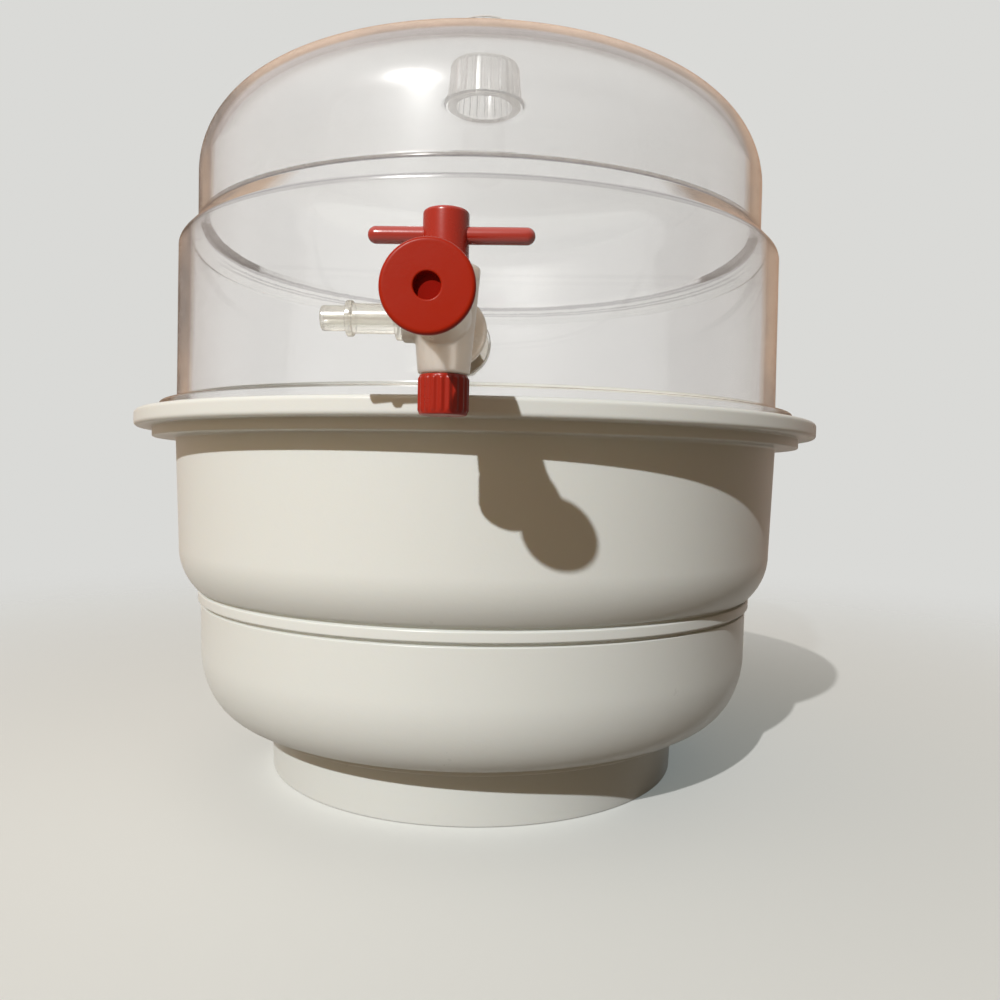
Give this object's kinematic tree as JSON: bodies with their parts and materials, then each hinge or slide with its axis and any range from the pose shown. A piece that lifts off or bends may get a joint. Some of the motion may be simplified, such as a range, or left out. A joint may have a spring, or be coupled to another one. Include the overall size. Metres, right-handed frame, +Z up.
{
  "type": "vacuum desiccator",
  "caption": "Round plastic vacuum desiccator: white bowl on a foot ring, clear stepped dome lid with ribbed knob, and a side tap with red plug and vent knob.",
  "frame": {"origin": "centre of the foot ring, on the plane the object stands on", "axes": "+Z up along the axis of the bowl and the lid; -Y towards the tap, so +Y is the back; the tap's hose nozzle points to -X"},
  "size_m": [0.29, 0.3507, 0.327],
  "materials": {
    "white_pp": "moulded, satin gloss",
    "plate_pp": "moulded, satin",
    "tray_pp": "moulded, satin",
    "silica_gel": "beads, translucent orange",
    "silicone": "smooth silicone",
    "silicone_washer": "smooth silicone",
    "clear_pc": "polished clear polycarbonate",
    "clear_pc_knob": "polished clear polycarbonate",
    "natural_pp": "moulded, slightly translucent",
    "natural_pp_nut": "moulded",
    "translucent_pp": "moulded, translucent",
    "red_pp": "moulded, satin gloss",
    "red_pp_cap": "moulded, ribbed",
    "red_pp_disc": "moulded, satin",
    "black_rubber": "smooth",
    "ptfe": "machined"
  },
  "bodies": {
    "base": {"base_bowl": "white_pp", "flange_o_ring": "silicone"},
    "plate": {"perforated_plate": "plate_pp"},
    "tray": {"desiccant_tray": "tray_pp", "desiccant_bed": "silica_gel"},
    "lid": {"lid_dome": "clear_pc", "lid_knob": "clear_pc_knob", "tap_body": "natural_pp", "outer_seal_washer": "silicone_washer", "inner_seal_washer": "silicone_washer", "lock_nut": "natural_pp_nut", "hose_nozzle": "translucent_pp", "nozzle_seal": "silicone_washer"},
    "plug": {"tap_plug": "red_pp", "plug_o_ring": "black_rubber", "plug_handle_bar": "red_pp", "plug_washer": "ptfe", "plug_retaining_cap": "red_pp_cap"},
    "vent_seal": {"vent_gasket": "silicone_washer"},
    "vent": {"vent_knob": "red_pp_disc"}
  },
  "joints": [
    {"name": "lid_lift", "type": "slide", "parent": "base", "child": "lid", "axis": [0, 0, 1], "range_m": [0, 0.2]},
    {"name": "plate_lift", "type": "slide", "parent": "base", "child": "plate", "axis": [0, 0, 1], "range_m": [0, 0.065]},
    {"name": "tray_lift", "type": "slide", "parent": "base", "child": "tray", "axis": [0, 0, 1], "range_m": [0, 0.018]},
    {"name": "plug_turn", "type": "hinge", "parent": "lid", "child": "plug", "pos_m": [0, -0.166, 0.1663], "axis": [0, 0, 1], "continuous": true},
    {"name": "vent_travel", "type": "slide", "parent": "lid", "child": "vent_seal", "axis": [0, -1, 0], "range_m": [0, 0.0031]},
    {"name": "vent_turn", "type": "hinge", "parent": "vent_seal", "child": "vent", "pos_m": [0, -0.2, 0.1663], "axis": [0, -1, 0], "range_deg": [0, 720]}
  ],
  "couplings": [
    {"joint": "vent_travel", "follows": "vent_turn", "m_per_rad": 0.00023873}
  ]
}
